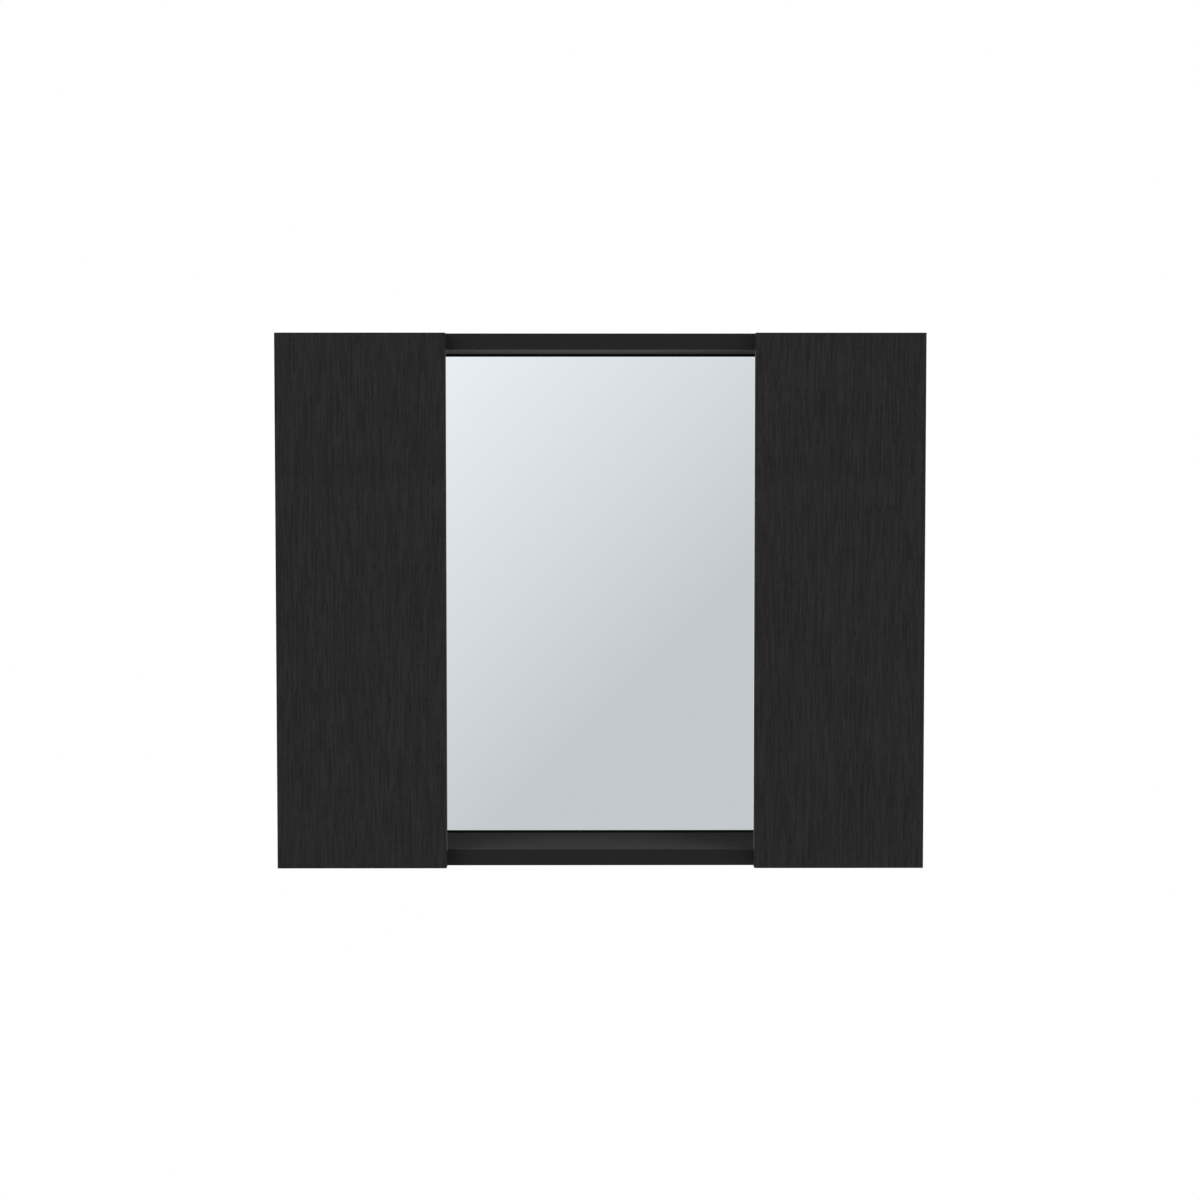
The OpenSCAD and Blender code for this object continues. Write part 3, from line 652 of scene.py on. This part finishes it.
def tape_material():
    """White closed-cell foam of the mounting tape."""
    material, sheet = new_material("foam_tape")
    cells = sheet.node("TexVoronoi", {"Vector": sheet.object_place(), "Scale": 2200.0})
    tone = sheet.ramp(cells.outputs["Distance"], 0.0, 0.8)
    sheet.surface(sheet.node("BsdfPrincipled", {
        "Base Color": sheet.blend(tone, (0.66, 0.66, 0.63, 1), (0.82, 0.82, 0.79, 1)),
        "Roughness": 0.9, "Normal": sheet.bump(tone, 0.06 * MM),
    }))
    return material


def bumper_material():
    """Clear soft bumper with a faint haze."""
    material, sheet = new_material("clear_rubber")
    haze = sheet.noise(sheet.object_place(), scale=600.0)
    sheet.surface(sheet.node("BsdfPrincipled", {
        "Base Color": sheet.blend(haze, (0.50, 0.53, 0.54, 1), (0.62, 0.65, 0.66, 1)),
        "Roughness": sheet.ramp(haze, 0.3, 0.7, 0.32, 0.44),
        "Transmission Weight": 0.3, "IOR": 1.45,
    }))
    return material


# Pieces


def need(name):
    """A CAD node by name."""
    if name not in NODES:
        raise RuntimeError(f"the packed model has no node {name}")
    return NODES[name]


def dress(names, material, rounding=0.0, in_reflections=False):
    """Gives CAD nodes a material, and soft edges where a rounding is given.

    Most stay out of reflections, because the mirror shows the room alone, as in the photograph.
    """
    for name in names:
        node = need(name)
        node.data.materials.clear()
        node.data.materials.append(material)
        node.visible_glossy = in_reflections
        if rounding > 0:
            soften_edges(node, rounding)


def soften_edges(node, rounding):
    """Joins the seams of a node's mesh and rounds its sharp edges."""
    weld = node.modifiers.new("close_seams", "WELD")
    weld.merge_threshold = 0.01 * MM
    bevel = node.modifiers.new("soft_edges", "BEVEL")
    bevel.width = rounding
    bevel.segments = 2
    bevel.limit_method = "ANGLE"
    bevel.angle_limit = math.radians(40)
    bevel.use_clamp_overlap = True
    bevel.harden_normals = True


def both_sides(*tails):
    """The names of the left and right pieces with these tails."""
    return [f"{side}_{tail}" for side in ("left", "right") for tail in tails]


# Operators, one for each group of pieces


class CABINET_OT_boards(bpy.types.Operator):
    """Finishes the side panels, dividers, top and bottom panels and hanging rails"""

    bl_idname = "cabinet.boards"
    bl_label = "Finish the carcass boards"

    def execute(self, context):
        look = context.scene.cabinet_boards
        upright = board_material(look, "charcoal_upright", "Z", (1.0, 0.0, 0.0), "left_side_panel")
        level = board_material(look, "charcoal_level", "X", (1.0, 1.0, 0.0))
        # The top panel gets its own copy with more sheen, a painted highlight that brightens its underside
        # above the mirror
        top = board_material(look, "charcoal_top", "X", (1.0, 1.0, 0.0), sheen=0.26)
        rail = board_material(look, "charcoal_rail", "X", (0.0, 1.0, 1.0), "left_hanging_rail")
        dress(both_sides("side_panel", "divider"), upright)
        dress(["top_panel"], top)
        dress(["bottom_panel"], level)
        dress(both_sides("hanging_rail"), rail)
        return {"FINISHED"}


class CABINET_OT_back(bpy.types.Operator):
    """Finishes the back panel and its nails"""

    bl_idname = "cabinet.back"
    bl_label = "Finish the back panel"

    def execute(self, context):
        metal = context.scene.cabinet_metal
        dress(["back_panel"], hardboard_material(context.scene.cabinet_boards))
        dress(["back_panel_nails"], metal_material("nail_steel", shaded(metal.steel, 0.8), 0.42))
        return {"FINISHED"}


class CABINET_OT_shelves(bpy.types.Operator):
    """Finishes the shelves and the pins that carry them"""

    bl_idname = "cabinet.shelves"
    bl_label = "Finish the shelves"

    def execute(self, context):
        metal = context.scene.cabinet_metal
        dress(both_sides("upper_shelf", "lower_shelf"), bpy.data.materials["charcoal_level"])
        dress(["shelf_pins"], metal_material("pin_steel", metal.steel, 0.28), metal.metal_round * 2)
        return {"FINISHED"}


class CABINET_OT_edge_bands(bpy.types.Operator):
    """Finishes and rounds the edge bands of the boards and doors"""

    bl_idname = "cabinet.edge_bands"
    bl_label = "Finish the edge bands"

    def execute(self, context):
        look = context.scene.cabinet_boards
        low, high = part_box("left_divider")[0][2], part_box("left_divider")[1][2]
        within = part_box("top_panel")[1][0]
        carcass = edge_band_material(look, "edge_band_carcass", low, high, within)
        dress(["carcass_edge_bands"], carcass, look.edge_round, in_reflections=True)
        door_low, door_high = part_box("left_door")[0][2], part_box("left_door")[1][2]
        doors = edge_band_material(look, "edge_band_door", door_low, door_high)
        dress(both_sides("door_edge_bands"), doors, look.edge_round, in_reflections=True)
        return {"FINISHED"}


class CABINET_OT_doors(bpy.types.Operator):
    """Finishes the two doors and their bumpers"""

    bl_idname = "cabinet.doors"
    bl_label = "Finish the doors"

    def execute(self, context):
        look = context.scene.cabinet_boards
        dress(both_sides("door"), board_material(look, "charcoal_door", "Z", (0.0, 1.0, 1.0)))
        dress(both_sides("door_bumpers"), bumper_material(), 0.6 * MM)
        return {"FINISHED"}


class CABINET_OT_mirror(bpy.types.Operator):
    """Finishes the mirror and its mounting tape"""

    bl_idname = "cabinet.mirror"
    bl_label = "Finish the mirror"

    def execute(self, context):
        dress(["mirror"], mirror_material(context.scene.cabinet_mirror), in_reflections=True)
        need("mirror").visible_diffuse = False
        dress(["mirror_tapes"], tape_material())
        return {"FINISHED"}


class CABINET_OT_hinges(bpy.types.Operator):
    """Finishes the hinge plates, arms, cups, pins and screws"""

    bl_idname = "cabinet.hinges"
    bl_label = "Finish the hinges"

    def execute(self, context):
        metal = context.scene.cabinet_metal
        nickel = metal_material("hinge_nickel", metal.nickel, 0.34, (2600.0, 260.0, 2600.0))
        zinc = metal_material("hinge_zinc", metal.zinc, 0.44, (700.0, 700.0, 700.0))
        screw = metal_material("hinge_screw_steel", metal.steel, 0.30)
        dress(both_sides("upper_hinge_arm", "lower_hinge_arm"), nickel, metal.metal_round)
        dress(both_sides("upper_hinge_cup", "lower_hinge_cup"), nickel, metal.metal_round)
        dress(both_sides("upper_hinge_plate", "lower_hinge_plate"), zinc, metal.metal_round)
        dress(both_sides("hinge_pins", "cup_screws"), screw)
        dress(["hinge_plate_screws", "arm_lock_screws", "arm_adjust_screws"], screw)
        return {"FINISHED"}


class CABINET_OT_fittings(bpy.types.Operator):
    """Finishes the cam locks, bolts, dowels and screws that hold the boards together"""

    bl_idname = "cabinet.fittings"
    bl_label = "Finish the fittings"

    def execute(self, context):
        metal = context.scene.cabinet_metal
        zinc = metal_material("cam_zinc", shaded(metal.zinc, 0.9), 0.42, (900.0, 900.0, 900.0))
        dress(["cam_locks"], zinc)
        dress(["cam_bolts", "divider_screws"], metal_material("bolt_steel", metal.steel, 0.32))
        dress(["panel_dowels", "rail_dowels"], wood_material())
        return {"FINISHED"}


# Stage


def stage_object(name, data):
    """An object that isn't part of the cabinet."""
    made = bpy.data.objects.new(name, data)
    bpy.context.scene.collection.objects.link(made)
    return made


def disc(name, radius, height, sides=96):
    """A level disc."""
    turns = [2 * math.pi * i / sides for i in range(sides)]
    ring = [(radius * math.cos(turn), radius * math.sin(turn), height) for turn in turns]
    mesh = bpy.data.meshes.new(name)
    mesh.from_pydata(ring, [], [tuple(range(sides))])
    return stage_object(name, mesh)


def curved_screen(name, radius, low, high, spread, steps=48):
    """An upright sheet bent round the front of the cabinet, over an angle of spread to each side."""
    points = []
    for i in range(steps + 1):
        turn = spread * (2 * i / steps - 1)
        for height in (low, high):
            points.append((radius * math.sin(turn), -radius * math.cos(turn), height))
    faces = [(a, a + 2, a + 3, a + 1) for a in range(0, 2 * steps, 2)]
    mesh = bpy.data.meshes.new(name)
    mesh.from_pydata(points, [], faces)
    return stage_object(name, mesh)


def area_light(name, place, power, in_reflections=False):
    """A large soft light that points at the middle of the cabinet."""
    middle = (CAD_BOX[0] + CAD_BOX[1]) / 2
    light = bpy.data.lights.new(name, "AREA")
    light.shape = "SQUARE"
    light.size = 2.2
    light.energy = power
    made = stage_object(name, light)
    made.location = place
    made.rotation_euler = (middle - Vector(place)).to_track_quat("-Z", "Y").to_euler()
    made.visible_camera = False
    made.visible_glossy = in_reflections
    return made


def seen_rays(sheet):
    """1 for rays from the camera, and for those that gloss or glass sends on."""
    path = sheet.node("LightPath").outputs
    seen = sheet.math("MAXIMUM", path["Is Camera Ray"], path["Is Glossy Ray"])
    return sheet.math("MAXIMUM", seen, path["Is Transmission Ray"])


def floor_material(clear_radius, white_radius):
    """Pale floor that keeps shadows near the cabinet and fades to white further out."""
    material, sheet = new_material("stage_floor")
    axes = sheet.axes(sheet.object_place())
    squares = sheet.math("ADD", sheet.math("POWER", axes[0], 2.0), sheet.math("POWER", axes[1], 2.0))
    reach = sheet.math("SQRT", squares)
    fade = sheet.ramp(reach, clear_radius, white_radius, smooth=True)
    grit = sheet.noise(sheet.object_place(), scale=90.0, detail=3.0, roughness=0.6)
    pale = sheet.blend(grit, (0.86, 0.86, 0.86, 1), (0.90, 0.90, 0.90, 1))
    plain = sheet.node("BsdfDiffuse", {"Color": pale})
    white = sheet.node("Emission", {"Color": WHITE, "Strength": 1.0})
    sheet.surface(sheet.mix_shaders(sheet.math("MULTIPLY", fade, seen_rays(sheet)), plain, white))
    return material


def screen_material(stage):
    """Soft light that falls off from the upper left to the lower right, and turns white at the ends."""
    slope_start, slope_length = -0.48, 1.18
    material, sheet = new_material("stage_screen")
    axes = sheet.axes(sheet.object_place())
    along = sheet.math("SUBTRACT", axes[0], axes[2])
    fade = sheet.ramp(along, slope_start, slope_start + slope_length)
    colour = sheet.blend(fade, opaque(stage.screen_light), opaque(stage.screen_dark))
    # Each is 0 on the part that the photo's mirror shows, and grows to 1 further out
    below = sheet.ramp(axes[2], -1.0, -1.55)
    above = sheet.ramp(axes[2], 0.5, 2.6)
    beside = sheet.ramp(sheet.math("ABSOLUTE", axes[0]), 0.8, 3.2)
    outer = sheet.math("MAXIMUM", sheet.math("MAXIMUM", below, above), beside)
    glow = {"Color": sheet.blend(outer, colour, WHITE), "Strength": 1.0}
    sheet.surface(sheet.node("Emission", glow))
    return material


def light_the_world(strength):
    """White to every ray that is seen, and an even light of that strength to the rest."""
    world = bpy.data.worlds.new("studio")
    bpy.context.scene.world = world
    world.use_nodes = True
    sheet = Sheet(world.node_tree)
    level = sheet.ramp(seen_rays(sheet), 0, 1, strength, 1.0)
    sky = sheet.node("Background", {"Color": WHITE, "Strength": level})
    out = sheet.node("OutputWorld")
    sheet.tree.links.new(sky.outputs[0], out.inputs["Surface"])


def photo_camera(stage):
    """The camera of the photograph."""
    lens = bpy.data.cameras.new("camera")
    lens.lens = stage.camera_lens
    lens.sensor_width = 36.0
    camera = stage_object("camera", lens)
    camera.location = stage.camera_place
    pitch, roll, turn = stage.camera_turn
    camera.rotation_euler = (math.pi / 2 - pitch, roll, turn)
    return camera


class CABINET_OT_stage(bpy.types.Operator):
    """Makes the floor, the light and the camera"""

    bl_idname = "cabinet.stage"
    bl_label = "Set the stage"

    def execute(self, context):
        stage = context.scene.cabinet_stage
        floor = disc("floor", radius=14.0, height=CAD_BOX[0][2] - stage.floor_drop)
        floor.data.materials.append(floor_material(clear_radius=1.2, white_radius=2.6))

        screen = curved_screen("reflected_screen", radius=3.4, low=-2.4, high=2.8, spread=math.radians(100))
        screen.data.materials.append(screen_material(stage))
        screen.visible_camera = False
        screen.visible_diffuse = False
        screen.visible_transmission = False
        screen.visible_shadow = False

        area_light("key_light", (-2.2, -2.6, 1.9), stage.key_power, in_reflections=True)
        area_light("fill_light", (2.4, -2.2, 0.6), stage.fill_power)
        light_the_world(stage.sky)
        context.scene.camera = photo_camera(stage)
        context.scene.view_settings.view_transform = "Standard"
        return {"FINISHED"}


class CABINET_PT_panel(bpy.types.Panel):
    """Lists the steps and their settings"""

    bl_label = "Wall cabinet"
    bl_idname = "CABINET_PT_panel"
    bl_space_type = "VIEW_3D"
    bl_region_type = "UI"
    bl_category = "Cabinet"

    def draw(self, context):
        for step in STEPS:
            self.layout.operator(step.bl_idname)
        for name in SETTINGS:
            box = self.layout.box()
            group = getattr(context.scene, name)
            for field in group.bl_rna.properties:
                if field.identifier not in {"rna_type", "name"}:
                    box.prop(group, field.identifier)


STEPS = (
    CABINET_OT_boards,
    CABINET_OT_back,
    CABINET_OT_shelves,
    CABINET_OT_edge_bands,
    CABINET_OT_doors,
    CABINET_OT_mirror,
    CABINET_OT_hinges,
    CABINET_OT_fittings,
    CABINET_OT_stage,
)
SETTINGS = {
    "cabinet_boards": CabinetBoardSettings,
    "cabinet_mirror": CabinetMirrorSettings,
    "cabinet_metal": CabinetMetalSettings,
    "cabinet_stage": CabinetStageSettings,
}


def register():
    """Adds the settings, operators and panel."""
    for name, group in SETTINGS.items():
        bpy.utils.register_class(group)
        setattr(bpy.types.Scene, name, bpy.props.PointerProperty(type=group))
    for step in (*STEPS, CABINET_PT_panel):
        bpy.utils.register_class(step)


def unregister():
    """Takes the settings, operators and panel away again."""
    for step in reversed((*STEPS, CABINET_PT_panel)):
        bpy.utils.unregister_class(step)
    for name, group in SETTINGS.items():
        delattr(bpy.types.Scene, name)
        bpy.utils.unregister_class(group)


def main():
    """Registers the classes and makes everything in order."""
    register()
    bpy.ops.cabinet.boards()
    bpy.ops.cabinet.back()
    bpy.ops.cabinet.shelves()
    bpy.ops.cabinet.edge_bands()
    bpy.ops.cabinet.doors()
    bpy.ops.cabinet.mirror()
    bpy.ops.cabinet.hinges()
    bpy.ops.cabinet.fittings()
    bpy.ops.cabinet.stage()
    bpy.context.view_layer.update()


if __name__ == "__main__":
    main()
